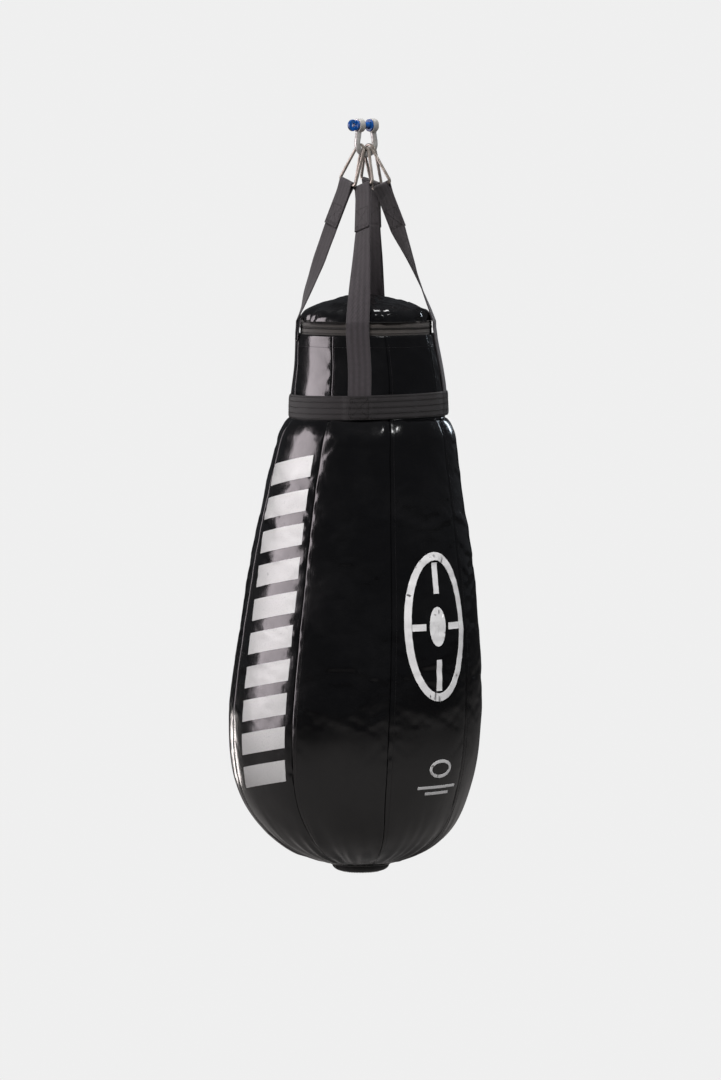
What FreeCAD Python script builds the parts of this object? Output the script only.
import FreeCAD, Part
import math
import os
import re

import Sketcher

# Hanging teardrop punching bag: a filled, eight-gored vinyl bag with a zipped lid, carried by four webbing straps,
# four triangular rings and one bow shackle. The frame's origin is the middle of the shackle pin, the pin lies along
# X with its head at -X, and the bag hangs down along -Z. All sizes are in millimetres.

Vector = FreeCAD.Vector
doc = FreeCAD.newDocument("hanging_bag")
sheet = doc.addObject("Spreadsheet::Sheet", "Sizes")

DRIVING_SIZES = (
    # shackle
    ("pin_radius", 5.5),
    ("pin_play", 0.05),
    ("ear_half_gap", 8.5),
    ("ear_width", 10.0),
    ("ear_radius", 11.0),
    ("bow_stock_radius", 5.0),
    ("bow_spare", 1.5),
    ("bow_depth", 42.0),
    ("side_play", 0.4),
    ("seat_spare", 1.0),
    ("collar_radius", 8.5),
    ("collar_width", 3.0),
    ("tab_length", 16.0),
    ("tab_width", 19.0),
    ("tab_root_width", 12.0),
    ("tab_thickness", 5.0),
    ("tab_eye_radius", 3.5),
    ("pin_end_proud", 1.5),
    ("washer_radius", 10.0),
    ("washer_thickness", 3.0),
    # rings
    ("wire_radius", 2.5),
    ("ring_gap", 1.0),
    ("ring_apex_radius", 10.0),
    ("ring_side_gap", 2.0),
    ("ring_height", 70.0),
    ("ring_twist", 3.0),
    ("hang_gap", 0.6),
    # straps and band
    ("strap_width", 38.0),
    ("strap_thickness", 2.0),
    ("strap_fold_length", 75.0),
    ("strap_loop_taper", 20.0),
    ("strap_loop_play", 0.1),
    ("strap_rim_drop", 318.0),
    ("strap_rim_gap", 5.0),
    ("strap_land_drop", 350.0),
    ("lay_gap", 0.15),
    ("band_thickness", 2.0),
    ("band_top_drop", 434.0),
    ("band_bottom_drop", 474.0),
    ("strap_end_inset", 4.0),
    # bag
    ("gore_count", 8),
    ("wall", 2.5),
    ("neck_top_drop", 338.0),
    ("neck_band_radius", 125.0),
    ("neck_foot_radius", 126.0),
    ("hem_height", 8.0),
    ("shoulder_drop", 8.0),
    ("flank_top_radius", 137.9),
    ("belly_radius", 206.5),
    ("belly_drop", 955.0),
    ("base_radius", 50.0),
    ("base_drop", 1205.0),
    ("base_plug_radius", 46.0),
    ("base_plug_depth", 15.0),
    ("base_plug_face_radius", 22.0),
    ("base_patch_thickness", 4.0),
    # filling
    ("liner_thickness", 10.0),
    ("inner_gap", 0.3),
    ("core_radius", 45.0),
    ("core_top_drop", 640.0),
    ("core_bottom_drop", 1140.0),
    # lid and zip
    ("lid_radius", 110.0),
    ("neck_lip", 3.5),
    ("lid_rim_drop", 316.0),
    ("lid_shoulder_radius", 22.0),
    ("lid_top_drop", 275.0),
    ("pad_bottom_drop", 322.0),
    ("tape_inset", 4.0),
    ("tape_thickness", 1.0),
    ("zip_drop", 328.0),
    ("coil_half_height", 2.0),
    ("coil_depth", 1.9),
    ("garage_angle", 10.0),
    ("garage_thickness", 1.5),
    ("garage_top_drop", 312.0),
    ("garage_bottom_drop", 350.0),
    # slider and pull
    ("slider_gap", 0.3),
    ("slider_angle", 7.0),
    ("slider_half_height", 6.0),
    ("slider_plate", 1.4),
    ("hinge_radius", 1.0),
    ("hinge_play", 0.1),
    ("hinge_offset", 2.5),
    ("lug_half_gap", 2.6),
    ("lug_width", 1.8),
    ("eye_wall", 1.0),
    ("pull_length", 24.0),
    ("pull_half_width", 4.0),
    ("pull_thickness", 1.6),
    ("pull_lie_angle", 8.0),
)
for row, (alias, value) in enumerate(DRIVING_SIZES, 1):
    sheet.set(f"A{row}", alias.replace("_", " "))
    sheet.set(f"B{row}", str(value))
    sheet.setAlias(f"B{row}", alias)
doc.recompute()

# Directions round the bag, in degrees from the front (-Y) towards the right (+X).
STRAP_AZIMUTHS = {"front_left": -45, "front_right": 45, "back_right": 135, "back_left": -135}
GORE_AZIMUTHS = {
    "front": 0,
    "front_right": 45,
    "right": 90,
    "back_right": 135,
    "back": 180,
    "back_left": -135,
    "left": -90,
    "front_left": -45,
}
GARAGE_AZIMUTH = -116
SLIDER_AZIMUTH = -165
# Place of each ring along the shackle's bow, counted in ring pitches from the middle.
RING_PLACES = {"back_left": -1.5, "front_left": -0.5, "front_right": 0.5, "back_right": 1.5}

# The neck's mouth and the zip follow the lid's rim.
NECK_TOP_RADIUS = "(lid_radius + neck_lip)"
TAPE_RADIUS = "(lid_radius - tape_inset)"
# The belly narrows upwards as a power of the height, and downwards as a superellipse.
FLANK_POWER = 1.45
BILGE_POWER = 2.6
# Heights on the flank that its curve is drawn through, and the middle of the shoulder above it, as shares.
FLANK_SHARES = (0.04, 0.13, 0.3, 0.5, 0.7, 0.87, 1)
SHOULDER_SHARES = (0.72, 0.45)
# Middle of the plug's rounded edge, as shares of the way out and of the way down.
PLUG_BULGE_SHARES = (0.72, 0.62)
# Half of the turn, in degrees, that a strap's landing is swept through before it is cut to its width.
LANDING_HALF_ANGLE = 30
TWIST_SECTIONS = 6

sub_parts = []


def size(alias):
    return float(sheet.get(alias))


def bound(expression):
    """Names of sizes in an expression, turned into references to the sheet's cells."""
    return re.sub(r"[a-z][a-z_]+", lambda word: "Sizes." + word.group(), expression)


def heading(azimuth):
    """Unit vector that points outwards at an azimuth."""
    angle = math.radians(azimuth)
    return Vector(math.sin(angle), -math.cos(angle), 0)


def new_body(label):
    body = doc.addObject("PartDesign::Body", label)
    body.Label = label
    sub_parts.append(body)
    return body


def new_shape(label, shape):
    """A sub-part made with Part's own functions."""
    feature = doc.addObject("Part::Feature", label)
    feature.Label = label
    feature.Shape = shape
    sub_parts.append(feature)
    return feature


def new_sketch(body, name, plane, offset=None):
    sketch = body.newObject("Sketcher::SketchObject", name)
    for feature in body.Origin.OriginFeatures:
        if feature.Role == plane:
            sketch.AttachmentSupport = [(feature, "")]
    sketch.MapMode = "FlatFace"
    if offset is not None:
        sketch.AttachmentOffset = offset
    return sketch


def hanging_sketch(body, name):
    """A sketch of a half section: first axis the distance from Z, second axis the drop below the pin."""
    turned_over = FreeCAD.Placement(Vector(0, 0, 0), FreeCAD.Rotation(Vector(1, 0, 0), 180))
    return new_sketch(body, name, "XZ_Plane", turned_over)


def add_corners(sketch, corners):
    """A closed outline of straight edges, its corners placed by pairs of expressions; None is the second axis."""
    first = sketch.GeometryCount
    count = len(corners)
    start = [Vector(60 + 20 * math.cos(2 * math.pi * n / count), 60 + 20 * math.sin(2 * math.pi * n / count), 0)
             for n in range(count)]
    for n in range(count):
        sketch.addGeometry(Part.LineSegment(start[n], start[(n + 1) % count]), False)
    for n in range(count):
        sketch.addConstraint(Sketcher.Constraint("Coincident", first + n, 2, first + (n + 1) % count, 1))
    for n, (across, down) in enumerate(corners):
        if across is None:
            sketch.addConstraint(Sketcher.Constraint("PointOnObject", first + n, 1, -2))
        else:
            index = sketch.addConstraint(Sketcher.Constraint("DistanceX", -1, 1, first + n, 1, start[n].x))
            sketch.setExpression(f"Constraints[{index}]", bound(across))
        index = sketch.addConstraint(Sketcher.Constraint("DistanceY", -1, 1, first + n, 1, start[n].y))
        sketch.setExpression(f"Constraints[{index}]", bound(down))


def turn(body, sketch, angle="360"):
    """Revolves a half section about the sketch's second axis, evenly to both sides."""
    revolution = body.newObject("PartDesign::Revolution", "Turn")
    revolution.Profile = (sketch, [""])
    revolution.ReferenceAxis = (sketch, ["V_Axis"])
    revolution.setExpression("Angle", bound(angle))
    if angle != "360":
        revolution.Midplane = True
    sketch.Visibility = False
    return revolution


def turned(label, corners, angle="360", azimuth=90):
    """A sub-part revolved about Z from a half section of straight edges, its middle at an azimuth."""
    body = new_body(label)
    sketch = hanging_sketch(body, "HalfSection")
    add_corners(sketch, corners)
    turn(body, sketch, angle)
    body.Placement = FreeCAD.Placement(Vector(0, 0, 0), FreeCAD.Rotation(Vector(0, 0, 1), azimuth - 90))
    return body


# --- derived places -------------------------------------------------------------------------------

ring_pitch = 2 * size("wire_radius") + size("ring_gap")
bow_inner_radius = 1.5 * ring_pitch + size("wire_radius") + size("bow_spare")
bow_line_radius = bow_inner_radius + size("bow_stock_radius")
bow_centre_drop = size("bow_depth") - bow_inner_radius
ear_centre = size("ear_half_gap") + size("ear_width") / 2
neck_top_radius = size("lid_radius") + size("neck_lip")
tape_radius = size("lid_radius") - size("tape_inset")
strap_inner_radius = size("lid_radius") + size("strap_rim_gap")
strap_middle_radius = strap_inner_radius + size("strap_thickness") / 2


# --- shackle --------------------------------------------------------------------------------------


def make_shackle_bow():
    """Round bar bent to a bow, its legs tangent to the bow's arc, with bored ears and flat seats on them."""
    body = new_body("shackle_bow")
    reach = math.hypot(ear_centre, bow_centre_drop)
    touch = math.asin(bow_line_radius / reach) + math.atan2(bow_centre_drop, ear_centre)
    foot = Vector(bow_line_radius * math.sin(touch), bow_centre_drop + bow_line_radius * math.cos(touch), 0)
    low = Vector(0, bow_centre_drop + bow_line_radius, 0)
    spine = hanging_sketch(body, "BowLine")
    left_ear = Vector(-ear_centre, 0, 0)
    left_foot = Vector(-foot.x, foot.y, 0)
    spine.addGeometry(Part.LineSegment(left_ear, left_foot), False)
    spine.addGeometry(Part.Arc(left_foot, low, foot), False)
    spine.addGeometry(Part.LineSegment(foot, Vector(ear_centre, 0, 0)), False)
    lean = math.degrees(math.atan2(left_foot.x - left_ear.x, left_foot.y))
    at_ear = FreeCAD.Placement(Vector(-ear_centre, 0, 0), FreeCAD.Rotation(Vector(0, 1, 0), -lean))
    stock = new_sketch(body, "Stock", "XY_Plane", at_ear)
    stock.addGeometry(Part.Circle(Vector(0, 0, 0), Vector(0, 0, 1), size("bow_stock_radius")), False)
    stock.addConstraint(Sketcher.Constraint("Coincident", 0, 3, -1, 1))
    index = stock.addConstraint(Sketcher.Constraint("Radius", 0, size("bow_stock_radius")))
    stock.setExpression(f"Constraints[{index}]", "Sizes.bow_stock_radius")
    pipe = body.newObject("PartDesign::AdditivePipe", "Bow")
    pipe.Profile = (stock, [""])
    pipe.Spine = (spine, ["Edge1", "Edge2", "Edge3"])
    for name, side in (("LeftEar", -1), ("RightEar", 1)):
        ear = new_sketch(body, name + "Outline", "YZ_Plane")
        ear.addGeometry(Part.Circle(Vector(0, 0, 0), Vector(0, 0, 1), size("ear_radius")), False)
        ear.addConstraint(Sketcher.Constraint("Coincident", 0, 3, -1, 1))
        index = ear.addConstraint(Sketcher.Constraint("Radius", 0, size("ear_radius")))
        ear.setExpression(f"Constraints[{index}]", "Sizes.ear_radius")
        side_sign = "" if side > 0 else "-"
        ear.setExpression("AttachmentOffset.Base.z", side_sign + "Sizes.ear_half_gap")
        pad = body.newObject("PartDesign::Pad", name)
        pad.Profile = (ear, [""])
        pad.setExpression("Length", "Sizes.ear_width")
        pad.Reversed = side < 0
    doc.recompute()
    before = body.Shape.Volume
    bore = new_sketch(body, "PinHole", "YZ_Plane")
    bore.addGeometry(Part.Circle(Vector(0, 0, 0), Vector(0, 0, 1), size("pin_radius")), False)
    bore.addConstraint(Sketcher.Constraint("Coincident", 0, 3, -1, 1))
    index = bore.addConstraint(Sketcher.Constraint("Radius", 0, size("pin_radius")))
    bore.setExpression(f"Constraints[{index}]", "Sizes.pin_radius + Sizes.pin_play")
    pocket = body.newObject("PartDesign::Pocket", "Bore")
    pocket.Profile = (bore, [""])
    pocket.Type = "ThroughAll"
    pocket.Midplane = True
    doc.recompute()
    assert body.Shape.Volume < before - 100, "the pin hole cut nothing"
    before = body.Shape.Volume
    for name, side in (("LeftSeat", -1), ("RightSeat", 1)):
        seat = new_sketch(body, name + "Outline", "YZ_Plane")
        seat.addGeometry(Part.Circle(Vector(0, 0, 0), Vector(0, 0, 1), size("collar_radius")), False)
        seat.addConstraint(Sketcher.Constraint("Coincident", 0, 3, -1, 1))
        index = seat.addConstraint(Sketcher.Constraint("Radius", 0, size("collar_radius")))
        seat.setExpression(f"Constraints[{index}]", "Sizes.collar_radius + Sizes.seat_spare")
        face = "Sizes.ear_half_gap + Sizes.ear_width"
        seat.setExpression("AttachmentOffset.Base.z", face if side > 0 else f"-({face})")
        cut = body.newObject("PartDesign::Pocket", name)
        cut.Profile = (seat, [""])
        cut.setExpression("Length", "Sizes.ear_width")
        cut.Reversed = side > 0
    doc.recompute()
    assert body.Shape.Volume < before - 1, "the seats for the pin's collar cut nothing"


def make_shackle_pin():
    """Screw pin: shank, collar and a flared flat tab with an eye for a securing wire."""
    body = new_body("shackle_pin")
    along_x = FreeCAD.Placement(Vector(0, 0, 0), FreeCAD.Rotation(Vector(0, 0, 1), 90))
    shank = new_sketch(body, "ShankSection", "XY_Plane", along_x)
    collar_face = "ear_half_gap + ear_width + side_play"
    end = "ear_half_gap + ear_width + pin_end_proud"
    corners = (
        (None, f"-({end})"),
        ("pin_radius - 1", f"-({end})"),
        ("pin_radius", f"-({end} - 1)"),
        ("pin_radius", collar_face),
        ("collar_radius", collar_face),
        ("collar_radius", f"{collar_face} + collar_width"),
        (None, f"{collar_face} + collar_width"),
    )
    add_corners(shank, corners)
    turn(body, shank)
    tab = new_sketch(body, "TabOutline", "XZ_Plane")
    root = size("ear_half_gap") + size("ear_width") + size("side_play") + size("collar_width") / 2
    tip = root + size("tab_length")
    round_end = size("tab_width") / 2
    half_root = size("tab_root_width") / 2
    tab_points = [Vector(-root, -half_root, 0), Vector(-tip + round_end, -round_end, 0),
                  Vector(-tip + round_end, round_end, 0), Vector(-root, half_root, 0)]
    tab.addGeometry(Part.LineSegment(tab_points[0], tab_points[1]), False)
    tab.addGeometry(Part.Arc(tab_points[1], Vector(-tip, 0, 0), tab_points[2]), False)
    tab.addGeometry(Part.LineSegment(tab_points[2], tab_points[3]), False)
    tab.addGeometry(Part.LineSegment(tab_points[3], tab_points[0]), False)
    tab.addGeometry(Part.Circle(Vector(-tip + round_end, 0, 0), Vector(0, 0, 1), size("tab_eye_radius")), False)
    index = tab.addConstraint(Sketcher.Constraint("Radius", 4, size("tab_eye_radius")))
    tab.setExpression(f"Constraints[{index}]", "Sizes.tab_eye_radius")
    pad = body.newObject("PartDesign::Pad", "Tab")
    pad.Profile = (tab, [""])
    pad.setExpression("Length", "Sizes.tab_thickness")
    pad.Midplane = True


def make_pin_washer():
    """Round spacer on the pin, against the inner face of the right ear."""
    body = new_body("pin_washer")
    along_x = FreeCAD.Placement(Vector(0, 0, 0), FreeCAD.Rotation(Vector(0, 0, 1), -90))
    section = new_sketch(body, "Section", "XY_Plane", along_x)
    outer = "ear_half_gap - side_play"
    inner = f"{outer} - washer_thickness"
    corners = (
        ("pin_radius + pin_play", inner),
        ("washer_radius", inner),
        ("washer_radius", outer),
        ("pin_radius + pin_play", outer),
    )
    add_corners(section, corners)
    turn(body, section)


# --- rings and straps -----------------------------------------------------------------------------


def ring_frame(place):
    """Middle of a ring's bar, the bar's direction, the outward normal, the pull direction and the rim point."""
    azimuth = STRAP_AZIMUTHS[place]
    station = RING_PLACES[place] * ring_pitch
    edge = abs(station) + size("wire_radius")
    contact_drop = bow_centre_drop + math.sqrt(bow_inner_radius ** 2 - edge ** 2)
    apex = Vector(station, 0, -(contact_drop - size("hang_gap") - size("wire_radius")))
    rim = heading(azimuth) * strap_middle_radius - Vector(0, 0, size("strap_rim_drop"))
    side = math.copysign(1, station)
    mean_station = side * ring_pitch
    lean = math.atan2(rim.x - mean_station, size("strap_rim_drop") - bow_centre_drop)
    down = Vector(math.sin(lean), 0, -math.cos(lean))
    run = rim - apex
    pull = (down * run.dot(down) + Vector(0, run.y, 0)).normalize()
    normal = Vector(math.cos(lean), 0, math.sin(lean))
    bar = pull.cross(normal).normalize()
    if bar.y < 0:
        bar = -bar
    twist = FreeCAD.Rotation(pull, -side * size("ring_twist"))
    bar = twist.multVec(bar)
    normal = bar.cross(pull).normalize()
    if normal.dot(heading(azimuth)) < 0:
        normal = -normal
    line_height = size("ring_height") - 2 * size("wire_radius")
    return apex + pull * line_height, bar, normal, pull, rim


def make_ring(place):
    """Triangular wire ring: a straight bar, two rounded corners, two legs and a rounded apex."""
    body = new_body("ring_" + place)
    wire = size("wire_radius")
    apex_radius = size("ring_apex_radius") + wire
    corner_radius = size("ring_side_gap") + wire
    half_bar = size("strap_width") / 2 + size("ring_side_gap") + wire
    line_height = size("ring_height") - 2 * wire
    corner = Vector(half_bar - corner_radius, corner_radius, 0)
    apex = Vector(0, line_height - apex_radius, 0)
    across = apex - corner
    lean = math.atan2(-across.x, across.y) + math.asin((corner_radius - apex_radius) / across.Length)
    outward = Vector(math.cos(lean), math.sin(lean), 0)
    leg_low = corner + outward * corner_radius
    leg_high = apex + outward * apex_radius
    half_way = math.radians(-90) / 2 + lean / 2
    corner_middle = corner + Vector(math.cos(half_way), math.sin(half_way), 0) * corner_radius

    def mirrored(point):
        return Vector(-point.x, point.y, 0)

    spine = new_sketch(body, "WireLine", "XZ_Plane")
    bar_end = Vector(corner.x, 0, 0)
    spine.addGeometry(Part.LineSegment(Vector(0, 0, 0), bar_end), False)
    spine.addGeometry(Part.Arc(bar_end, corner_middle, leg_low), False)
    spine.addGeometry(Part.LineSegment(leg_low, leg_high), False)
    spine.addGeometry(Part.Arc(leg_high, Vector(0, line_height, 0), mirrored(leg_high)), False)
    spine.addGeometry(Part.LineSegment(mirrored(leg_high), mirrored(leg_low)), False)
    spine.addGeometry(Part.Arc(mirrored(leg_low), mirrored(corner_middle), mirrored(bar_end)), False)
    spine.addGeometry(Part.LineSegment(mirrored(bar_end), Vector(0, 0, 0)), False)
    stock = new_sketch(body, "Stock", "YZ_Plane")
    stock.addGeometry(Part.Circle(Vector(0, 0, 0), Vector(0, 0, 1), wire), False)
    stock.addConstraint(Sketcher.Constraint("Coincident", 0, 3, -1, 1))
    index = stock.addConstraint(Sketcher.Constraint("Radius", 0, wire))
    stock.setExpression(f"Constraints[{index}]", "Sizes.wire_radius")
    pipe = body.newObject("PartDesign::AdditivePipe", "Wire")
    pipe.Profile = (stock, [""])
    pipe.Spine = (spine, [f"Edge{n}" for n in range(1, 8)])
    origin, bar, normal, pull, rim = ring_frame(place)
    up = -pull
    side = up.cross(bar)
    body.Placement = FreeCAD.Placement(origin, FreeCAD.Rotation(bar, side, up, "ZXY"))


def strap_loop(place):
    """Webbing round the ring's bar, both plies drawn together and sewn down to the folded end."""
    origin, bar, normal, pull, rim = ring_frame(place)
    inner = size("wire_radius") + size("strap_loop_play")
    ply = size("strap_thickness")
    outer = inner + ply
    taper = size("strap_loop_taper")
    fold = size("strap_fold_length")
    start = origin - bar * (size("strap_width") / 2)

    def at(out, along):
        return start + normal * out + pull * along

    outline = Part.Wire([
        Part.Arc(at(-outer, 0), at(0, -outer), at(outer, 0)).toShape(),
        Part.LineSegment(at(outer, 0), at(ply, taper)).toShape(),
        Part.LineSegment(at(ply, taper), at(ply, fold)).toShape(),
        Part.LineSegment(at(ply, fold), at(-ply, fold)).toShape(),
        Part.LineSegment(at(-ply, fold), at(-ply, taper)).toShape(),
        Part.LineSegment(at(-ply, taper), at(-outer, 0)).toShape(),
    ])
    eye = Part.Wire([
        Part.Arc(at(-inner, 0), at(0, -inner), at(inner, 0)).toShape(),
        Part.LineSegment(at(inner, 0), at(0, taper)).toShape(),
        Part.LineSegment(at(0, taper), at(-inner, 0)).toShape(),
    ])
    width = bar * size("strap_width")
    return Part.Face(outline).extrude(width).cut(Part.Face(eye).extrude(width))


def strap_section(middle, across, out):
    """Flat section of the webbing, inner edge first."""
    half_width = across * (size("strap_width") / 2)
    half_ply = out * (size("strap_thickness") / 2)
    corners = [middle - half_width - half_ply, middle + half_width - half_ply,
               middle + half_width + half_ply, middle - half_width + half_ply]
    return Part.Wire([Part.LineSegment(corners[n], corners[(n + 1) % 4]).toShape() for n in range(4)])


def rim_section(azimuth):
    """Level section of the webbing where it meets the neck, curved to the neck's round."""
    out = heading(azimuth)
    across = Vector(0, 0, 1).cross(out)
    half_width = size("strap_width") / 2

    def at(radius, side):
        depth = math.sqrt(radius ** 2 - (side * half_width) ** 2)
        return out * depth + across * (side * half_width) - Vector(0, 0, size("strap_rim_drop"))

    inner = strap_inner_radius
    outer = inner + size("strap_thickness")
    return across, Part.Wire([
        Part.Arc(at(inner, -1), at(inner, 0), at(inner, 1)).toShape(),
        Part.LineSegment(at(inner, 1), at(outer, 1)).toShape(),
        Part.Arc(at(outer, 1), at(outer, 0), at(outer, -1)).toShape(),
        Part.LineSegment(at(outer, -1), at(inner, -1)).toShape(),
    ])


def strap_run(place):
    """Single ply from the folded end to the neck, turning from the bar's direction to the neck's."""
    origin, bar, normal, pull, rim = ring_frame(place)
    across, last = rim_section(STRAP_AZIMUTHS[place])
    if across.dot(bar) < 0:
        bar = -bar
    first_middle = origin + pull * size("strap_fold_length") - normal * (size("strap_thickness") / 2)
    wires = []
    for n in range(TWIST_SECTIONS):
        share = n / TWIST_SECTIONS
        middle = first_middle + (rim - first_middle) * share
        width_way = (bar * (1 - share) + across * share).normalize()
        width_way = (width_way - pull * width_way.dot(pull)).normalize()
        out = width_way.cross(pull).normalize()
        if out.dot(heading(STRAP_AZIMUTHS[place])) < 0:
            out = -out
        wires.append(strap_section(middle, width_way, out))
    wires.append(last)
    return Part.makeLoft(wires, True, True)


def strap_landing(place):
    """Webbing that lies on the neck and ends under the band."""
    lay = size("lay_gap")
    ply = size("strap_thickness")
    end_drop = size("band_bottom_drop") - size("strap_end_inset")
    line = (
        (strap_inner_radius, size("strap_rim_drop")),
        (strap_inner_radius, size("strap_land_drop")),
        (size("neck_band_radius") + lay, size("band_top_drop")),
        (neck_radius(end_drop) + lay, end_drop),
    )
    points = [Vector(radius, 0, -drop) for radius, drop in line]
    points += [Vector(radius + ply, 0, -drop) for radius, drop in reversed(line)]
    face = Part.Face(Part.makePolygon(points + points[:1]))
    face.rotate(Vector(0, 0, 0), Vector(0, 0, 1), -LANDING_HALF_ANGLE)
    ring = face.revolve(Vector(0, 0, 0), Vector(0, 0, 1), 2 * LANDING_HALF_ANGLE)
    half_width = size("strap_width") / 2
    reach = size("belly_radius")
    slab = Part.makeBox(reach, 2 * half_width, size("base_drop"), Vector(0, -half_width, -size("base_drop")))
    landing = ring.common(slab)
    landing.rotate(Vector(0, 0, 0), Vector(0, 0, 1), STRAP_AZIMUTHS[place] - 90)
    return landing


def make_strap(place):
    strap = strap_loop(place).fuse([strap_run(place), strap_landing(place)]).removeSplitter()
    new_shape("strap_" + place, strap.Solids[0] if len(strap.Solids) == 1 else strap)


def make_neck_band():
    """Webbing band round the neck, over the four straps."""
    lay = "lay_gap + strap_thickness + lay_gap"
    turned("neck_band", (
        (f"neck_band_radius + {lay}", "band_top_drop"),
        (f"neck_foot_radius + {lay}", "band_bottom_drop"),
        (f"neck_foot_radius + {lay} + band_thickness", "band_bottom_drop"),
        (f"neck_band_radius + {lay} + band_thickness", "band_top_drop"),
    ))


# --- bag ------------------------------------------------------------------------------------------


def neck_radius(drop):
    """Outer radius of the neck: a slow cone to the band, and a slower one under it."""
    top, band, foot = size("neck_top_drop"), size("band_top_drop"), size("band_bottom_drop")
    if drop < band:
        share = (drop - top) / (band - top)
        return neck_top_radius + share * (size("neck_band_radius") - neck_top_radius)
    share = (drop - band) / (foot - band)
    return size("neck_band_radius") + share * (size("neck_foot_radius") - size("neck_band_radius"))


def body_outline(inset):
    """Half outline from the foot of the band to the base, moved inwards by inset, as radius and drop."""
    belly, belly_drop = size("belly_radius"), size("belly_drop")
    foot, foot_drop = size("neck_foot_radius"), size("band_bottom_drop")
    shoulder = size("shoulder_drop")
    points = [(foot, foot_drop)]
    full = size("flank_top_radius")
    round_share, drop_share = SHOULDER_SHARES
    points.append((foot + round_share * (full - foot), foot_drop + drop_share * shoulder))
    for share in FLANK_SHARES:
        height = belly_drop - foot_drop
        points.append((belly - (belly - full) * (1 - share) ** FLANK_POWER, foot_drop + share * height))
    base_share = size("base_radius") / belly
    depth = (size("base_drop") - belly_drop) / (1 - base_share ** BILGE_POWER) ** (1 / BILGE_POWER)
    last = math.degrees(math.acos(base_share ** (BILGE_POWER / 2)))
    for n in range(1, 9):
        angle = math.radians(last * n / 8)
        radius = belly * math.cos(angle) ** (2 / BILGE_POWER)
        points.append((radius, belly_drop + depth * math.sin(angle) ** (2 / BILGE_POWER)))
    curve = Part.BSplineCurve()
    curve.interpolate([Vector(radius, drop, 0) for radius, drop in points])
    if inset == 0:
        return curve
    moved = []
    for radius, drop in points:
        point = Vector(radius, drop, 0)
        way = curve.tangent(curve.parameter(point))[0]
        moved.append(point + Vector(-way.y, way.x, 0) * inset)
    inner = Part.BSplineCurve()
    inner.interpolate(moved)
    return inner


def wall_section(sketch, outside, inside, top_drop, hem):
    """Half section of a skin between two insets from the bag's outside, from the neck's top to the base."""
    outer, inner = body_outline(outside), body_outline(inside)
    band = size("band_top_drop")
    outer_line = [(neck_radius(top_drop) - outside, top_drop), (size("neck_band_radius") - outside, band)]
    inner_line = [(size("neck_band_radius") - inside, band)]
    if hem:
        hem_foot = top_drop + size("hem_height")
        tape = tape_radius + size("tape_thickness")
        inner_line += [(neck_radius(hem_foot) - inside, hem_foot), (tape, hem_foot), (tape, top_drop)]
    else:
        inner_line += [(neck_radius(top_drop) - inside, top_drop)]
    down = [Vector(radius, drop, 0) for radius, drop in outer_line] + [outer.StartPoint]
    up = [inner.StartPoint] + [Vector(radius, drop, 0) for radius, drop in inner_line] + [down[0]]
    for path in (down, up):
        for start, end in zip(path, path[1:]):
            sketch.addGeometry(Part.LineSegment(start, end), False)
    sketch.addGeometry(outer, False)
    sketch.addGeometry(Part.LineSegment(outer.EndPoint, inner.EndPoint), False)
    sketch.addGeometry(inner, False)


def make_gore(place):
    """One of the vinyl panels, hemmed at the top where the lower zip tape is sewn in."""
    body = new_body("gore_" + place)
    sketch = hanging_sketch(body, "WallSection")
    wall_section(sketch, 0, size("wall"), size("neck_top_drop"), True)
    turn(body, sketch, "360 / gore_count")
    azimuth = GORE_AZIMUTHS[place]
    body.Placement = FreeCAD.Placement(Vector(0, 0, 0), FreeCAD.Rotation(Vector(0, 0, 1), azimuth - 90))


def make_foam_liner():
    """Sheet foam behind the gores."""
    body = new_body("foam_liner")
    sketch = hanging_sketch(body, "LinerSection")
    outside = size("wall") + size("inner_gap")
    top_drop = size("neck_top_drop") + size("hem_height") + size("inner_gap")
    wall_section(sketch, outside, outside + size("liner_thickness"), top_drop, False)
    turn(body, sketch)


def make_textile_filling():
    """Packed textile waste that fills the liner, with a hollow for the core."""
    body = new_body("textile_filling")
    sketch = hanging_sketch(body, "FillingSection")
    inset = size("wall") + size("liner_thickness") + 2 * size("inner_gap")
    outline = body_outline(inset)
    top_drop = size("pad_bottom_drop") + size("inner_gap")
    tape_inside = tape_radius - size("inner_gap")
    step_drop = size("neck_top_drop") + size("hem_height")
    radius_at_step = neck_radius(step_drop) - inset
    path = [
        Vector(outline.EndPoint.x, outline.EndPoint.y, 0),
        Vector(0, outline.EndPoint.y, 0),
        Vector(0, top_drop, 0),
        Vector(min(tape_inside, radius_at_step), top_drop, 0),
        Vector(radius_at_step, step_drop, 0),
        Vector(size("neck_band_radius") - inset, size("band_top_drop"), 0),
        outline.StartPoint,
    ]
    for start, end in zip(path, path[1:]):
        sketch.addGeometry(Part.LineSegment(start, end), False)
    sketch.addGeometry(outline, False)
    turn(body, sketch)
    doc.recompute()
    before = body.Shape.Volume
    hollow = hanging_sketch(body, "CoreHollow")
    add_corners(hollow, (
        (None, "core_top_drop - inner_gap"),
        ("core_radius + inner_gap", "core_top_drop - inner_gap"),
        ("core_radius + inner_gap", "core_bottom_drop + inner_gap"),
        (None, "core_bottom_drop + inner_gap"),
    ))
    groove = body.newObject("PartDesign::Groove", "Hollow")
    groove.Profile = (hollow, [""])
    groove.ReferenceAxis = (hollow, ["V_Axis"])
    groove.Angle = 360
    doc.recompute()
    assert body.Shape.Volume < before - 1000, "the hollow cut nothing"


def make_core():
    """Sand sewn into a tube, in the middle of the filling."""
    turned("sand_core", (
        (None, "core_top_drop"),
        ("core_radius", "core_top_drop"),
        ("core_radius", "core_bottom_drop"),
        (None, "core_bottom_drop"),
    ))


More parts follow.
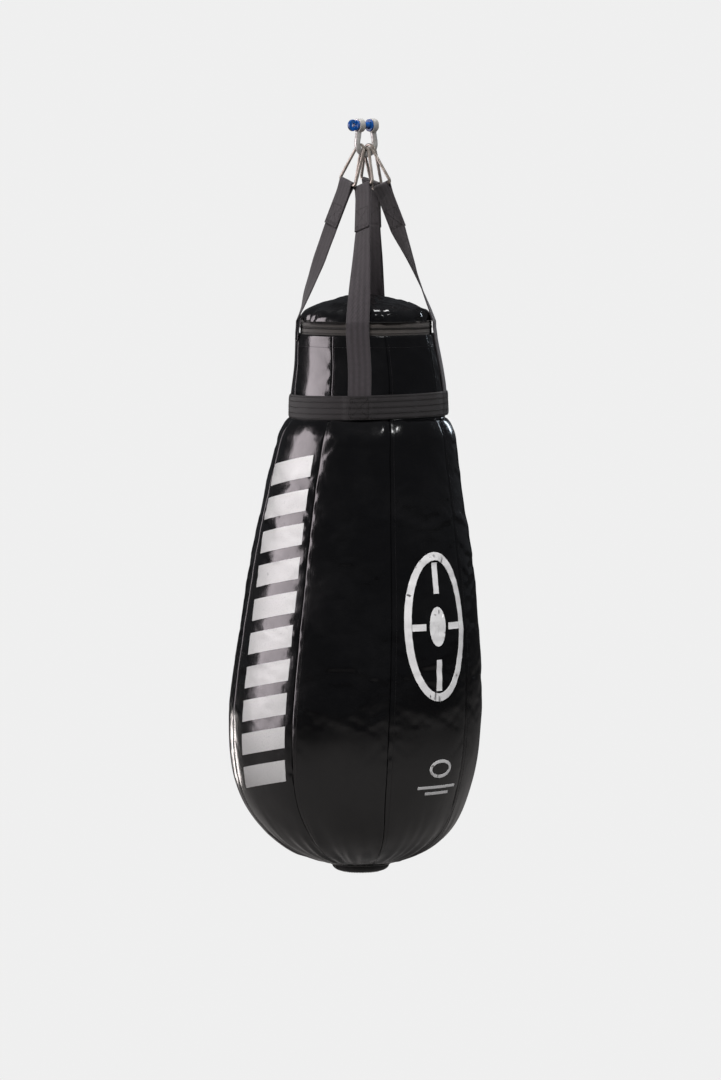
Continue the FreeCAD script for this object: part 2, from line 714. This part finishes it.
def make_base():
    """Inner disc that closes the gores' lower edges, and the matt plug sewn on under it."""
    turned("base_patch", (
        (None, "base_drop - wall - base_patch_thickness"),
        ("base_radius - wall - 2 * inner_gap", "base_drop - wall - base_patch_thickness"),
        ("base_radius - wall - 2 * inner_gap", "base_drop"),
        (None, "base_drop"),
    ))
    body = new_body("base_disc")
    sketch = hanging_sketch(body, "PlugSection")
    top, bottom = size("base_drop"), size("base_drop") + size("base_plug_depth")
    rim, face = size("base_plug_radius"), size("base_plug_face_radius")
    out_share, down_share = PLUG_BULGE_SHARES
    bulge = Vector(face + out_share * (rim - face), top + down_share * (bottom - top), 0)
    corners = [Vector(face, bottom, 0), Vector(0, bottom, 0), Vector(0, top, 0), Vector(rim, top, 0)]
    for start, end in zip(corners, corners[1:]):
        sketch.addGeometry(Part.LineSegment(start, end), False)
    sketch.addGeometry(Part.Arc(corners[3], bulge, corners[0]), False)
    turn(body, sketch)


# --- lid and zip ----------------------------------------------------------------------------------


def dome(inset):
    """Shoulder and crown arcs of the lid, moved inwards by inset."""
    shoulder = size("lid_shoulder_radius")
    centre = Vector(size("lid_radius") - shoulder, size("lid_rim_drop"), 0)
    rise = centre.y - size("lid_top_drop")
    crown = (centre.x ** 2 + rise ** 2 - shoulder ** 2) / (2 * (rise - shoulder))
    crown_centre = Vector(0, size("lid_top_drop") + crown, 0)
    way = (centre - crown_centre).normalize()
    meet = centre + way * (shoulder - inset)
    half = (way + Vector(1, 0, 0)).normalize()
    shoulder_arc = Part.Arc(centre + Vector(shoulder - inset, 0, 0), centre + half * (shoulder - inset), meet)
    crown_half = (way + Vector(0, -1, 0)).normalize()
    top = Vector(0, size("lid_top_drop") + inset, 0)
    crown_arc = Part.Arc(meet, crown_centre + crown_half * (crown - inset), top)
    return shoulder_arc, crown_arc


def add_lines(sketch, points):
    for start, end in zip(points, points[1:]):
        sketch.addGeometry(Part.LineSegment(start, end), False)


def make_top_lid():
    """Domed vinyl lid, hemmed at its rim where the upper zip tape is sewn in."""
    body = new_body("top_lid")
    sketch = hanging_sketch(body, "LidSection")
    wall = size("wall")
    outer_shoulder, outer_crown = dome(0)
    inner_shoulder, inner_crown = dome(wall)
    rim_foot = size("lid_rim_drop") + size("hem_height") / 4
    hem_top = size("lid_rim_drop") - size("hem_height") / 2
    tape = tape_radius + size("tape_thickness")
    for curve in (outer_shoulder, outer_crown, inner_shoulder, inner_crown):
        sketch.addGeometry(curve, False)
    outside = size("lid_radius")
    rim_drop = size("lid_rim_drop")
    add_lines(sketch, (
        Vector(outside, rim_drop, 0),
        Vector(outside, rim_foot, 0),
        Vector(tape, rim_foot, 0),
        Vector(tape, rim_drop, 0),
        Vector(outside - wall, rim_drop, 0),
    ))
    add_lines(sketch, (Vector(0, size("lid_top_drop"), 0), Vector(0, size("lid_top_drop") + wall, 0)))
    turn(body, sketch)


def make_lid_pad():
    """Foam pad that fills the dome under the lid."""
    body = new_body("lid_pad")
    sketch = hanging_sketch(body, "PadSection")
    inset = size("wall") + size("inner_gap")
    shoulder, crown = dome(inset)
    rim = size("lid_radius") - inset
    rim_drop = size("lid_rim_drop")
    tape_inside = tape_radius - size("inner_gap")
    bottom = size("pad_bottom_drop")
    sketch.addGeometry(shoulder, False)
    sketch.addGeometry(crown, False)
    tape_top = rim_drop - 2 * size("inner_gap")
    add_lines(sketch, (
        Vector(0, size("lid_top_drop") + inset, 0),
        Vector(0, bottom, 0),
        Vector(tape_inside, bottom, 0),
        Vector(tape_inside, rim_drop, 0),
        Vector(rim, rim_drop, 0),
    ))
    turn(body, sketch)


def make_zip():
    """Two woven tapes, the closed coil between them, and the vinyl tab sewn over the zip's end."""
    outside = f"{TAPE_RADIUS} + tape_thickness"
    turned("zip_tape_upper", (
        (TAPE_RADIUS, "lid_rim_drop"),
        (outside, "lid_rim_drop"),
        (outside, "zip_drop - coil_half_height"),
        (TAPE_RADIUS, "zip_drop - coil_half_height"),
    ))
    turned("zip_tape_lower", (
        (TAPE_RADIUS, "zip_drop + coil_half_height"),
        (outside, "zip_drop + coil_half_height"),
        (outside, "neck_top_drop + hem_height"),
        (TAPE_RADIUS, "neck_top_drop + hem_height"),
    ))
    turned("zip_coil", (
        (TAPE_RADIUS, "zip_drop - coil_half_height"),
        (f"{TAPE_RADIUS} + coil_depth", "zip_drop - coil_half_height"),
        (f"{TAPE_RADIUS} + coil_depth", "zip_drop + coil_half_height"),
        (TAPE_RADIUS, "zip_drop + coil_half_height"),
    ))
    neck_slope = f"(neck_band_radius - {NECK_TOP_RADIUS}) / (band_top_drop - neck_top_drop)"
    foot = f"{NECK_TOP_RADIUS} + (garage_bottom_drop - neck_top_drop) * {neck_slope} + inner_gap"
    lip = f"{NECK_TOP_RADIUS} + inner_gap"
    under_pad = "pad_bottom_drop + inner_gap"
    turned("zip_garage", (
        ("lid_radius + inner_gap", "garage_top_drop"),
        ("lid_radius + inner_gap + garage_thickness", "garage_top_drop"),
        ("lid_radius + inner_gap + garage_thickness", under_pad),
        (f"{lip} + garage_thickness", "neck_top_drop"),
        (f"{foot} + garage_thickness", "garage_bottom_drop"),
        (foot, "garage_bottom_drop"),
        (lip, "neck_top_drop"),
        ("lid_radius + inner_gap", under_pad),
    ), "garage_angle", GARAGE_AZIMUTH)


def slider_sizes():
    """Radius of the slider's plate and of its hinge rod's axis."""
    plate = tape_radius + size("coil_depth") + size("slider_gap")
    return plate, plate + size("slider_plate") + size("hinge_offset")


def make_zip_slider():
    """Curved front plate with two lugs that hold the short upright rod on which the pull swings."""
    plate, rod = slider_sizes()
    inner = f"{TAPE_RADIUS} + coil_depth + slider_gap"
    body = turned("zip_slider", (
        (inner, "zip_drop - slider_half_height"),
        (f"{inner} + slider_plate", "zip_drop - slider_half_height"),
        (f"{inner} + slider_plate", "zip_drop + slider_half_height"),
        (inner, "zip_drop + slider_half_height"),
    ), "slider_angle", SLIDER_AZIMUTH)
    root = plate + size("slider_plate") / 2
    tip = rod + size("hinge_radius")
    half = size("hinge_radius")
    for name, side in (("UpperLug", 1), ("LowerLug", -1)):
        start = -size("zip_drop") + side * size("lug_half_gap")
        lug = new_sketch(body, name + "Outline", "XY_Plane",
                         FreeCAD.Placement(Vector(0, 0, start), FreeCAD.Rotation()))
        lug.addGeometry(Part.LineSegment(Vector(rod, half, 0), Vector(root, 2 * half, 0)), False)
        lug.addGeometry(Part.LineSegment(Vector(root, 2 * half, 0), Vector(root, -2 * half, 0)), False)
        lug.addGeometry(Part.LineSegment(Vector(root, -2 * half, 0), Vector(rod, -half, 0)), False)
        lug.addGeometry(Part.Arc(Vector(rod, -half, 0), Vector(tip, 0, 0), Vector(rod, half, 0)), False)
        pad = body.newObject("PartDesign::Pad", name)
        pad.Profile = (lug, [""])
        pad.setExpression("Length", "Sizes.lug_width")
        pad.Reversed = side < 0
    doc.recompute()
    bar = new_sketch(body, "RodOutline", "XY_Plane",
                     FreeCAD.Placement(Vector(0, 0, -size("zip_drop")), FreeCAD.Rotation()))
    bar.addGeometry(Part.Circle(Vector(rod, 0, 0), Vector(0, 0, 1), half), False)
    index = bar.addConstraint(Sketcher.Constraint("Radius", 0, half))
    bar.setExpression(f"Constraints[{index}]", "Sizes.hinge_radius")
    pad = body.newObject("PartDesign::Pad", "Rod")
    pad.Profile = (bar, [""])
    pad.setExpression("Length", "2 * Sizes.lug_half_gap + Sizes.lug_width")
    pad.Midplane = True


def make_zip_pull():
    """Flat pull with an eye round the slider's rod, lying along the zip."""
    plate, rod = slider_sizes()
    body = new_body("zip_pull")
    bore = size("hinge_radius") + size("hinge_play")
    outer = bore + size("eye_wall")
    height = 2 * (size("lug_half_gap") - size("slider_gap"))
    length, half = size("pull_length"), size("pull_thickness") / 2
    plan = new_sketch(body, "EyePlan", "XY_Plane")
    plan.addGeometry(Part.Circle(Vector(0, 0, 0), Vector(0, 0, 1), outer), False)
    eye = body.newObject("PartDesign::Pad", "Eye")
    eye.Profile = (plan, [""])
    eye.Length = height
    eye.Midplane = True
    side = new_sketch(body, "PullOutline", "XZ_Plane")
    narrow, wide = height / 2, size("pull_half_width")
    near, neck = bore + size("eye_wall") / 2, outer + wide
    add_lines(side, (
        Vector(length - wide, -wide, 0),
        Vector(neck, -wide, 0),
        Vector(near + wide / 2, -narrow, 0),
        Vector(near, -narrow, 0),
        Vector(near, narrow, 0),
        Vector(near + wide / 2, narrow, 0),
        Vector(neck, wide, 0),
        Vector(length - wide, wide, 0),
    ))
    side.addGeometry(Part.Arc(Vector(length - wide, wide, 0), Vector(length, 0, 0),
                              Vector(length - wide, -wide, 0)), False)
    side.addGeometry(Part.Circle(Vector(length - wide, 0, 0), Vector(0, 0, 1), wide / 2), False)
    blade = body.newObject("PartDesign::Pad", "Blade")
    blade.Profile = (side, [""])
    blade.setExpression("Length", "Sizes.pull_thickness")
    blade.Midplane = True
    doc.recompute()
    before = body.Shape.Volume
    hole = new_sketch(body, "EyeHole", "XY_Plane")
    hole.addGeometry(Part.Circle(Vector(0, 0, 0), Vector(0, 0, 1), bore), False)
    index = hole.addConstraint(Sketcher.Constraint("Radius", 0, bore))
    hole.setExpression(f"Constraints[{index}]", "Sizes.hinge_radius + Sizes.hinge_play")
    pocket = body.newObject("PartDesign::Pocket", "Bore")
    pocket.Profile = (hole, [""])
    pocket.Type = "ThroughAll"
    pocket.Midplane = True
    doc.recompute()
    assert body.Shape.Volume < before - 1, "the pull's eye was not bored"
    place = heading(SLIDER_AZIMUTH) * rod - Vector(0, 0, size("zip_drop"))
    lie = SLIDER_AZIMUTH + 180 - size("pull_lie_angle")
    body.Placement = FreeCAD.Placement(place, FreeCAD.Rotation(Vector(0, 0, 1), lie))


make_shackle_bow()
make_shackle_pin()
make_pin_washer()
for ring_place in RING_PLACES:
    make_ring(ring_place)
for strap_place in STRAP_AZIMUTHS:
    make_strap(strap_place)
make_neck_band()
for gore_place in GORE_AZIMUTHS:
    make_gore(gore_place)
make_foam_liner()
make_textile_filling()
make_core()
make_base()
make_top_lid()
make_lid_pad()
make_zip()
make_zip_slider()
make_zip_pull()
doc.recompute()

for item in doc.Objects:
    if "Invalid" in item.State or "Error" in item.State:
        raise RuntimeError(f"{item.Label}: {item.State}")
os.makedirs("parts", exist_ok=True)
for sub_part in sub_parts:
    shape = sub_part.Shape
    if shape.isNull() or not shape.isValid() or not shape.Solids:
        raise RuntimeError(f"{sub_part.Label} has no sound solid")
    shape.exportStep(f"parts/{sub_part.Label}.step")
    print(sub_part.Label, len(shape.Solids), round(shape.Volume / 1000, 2))
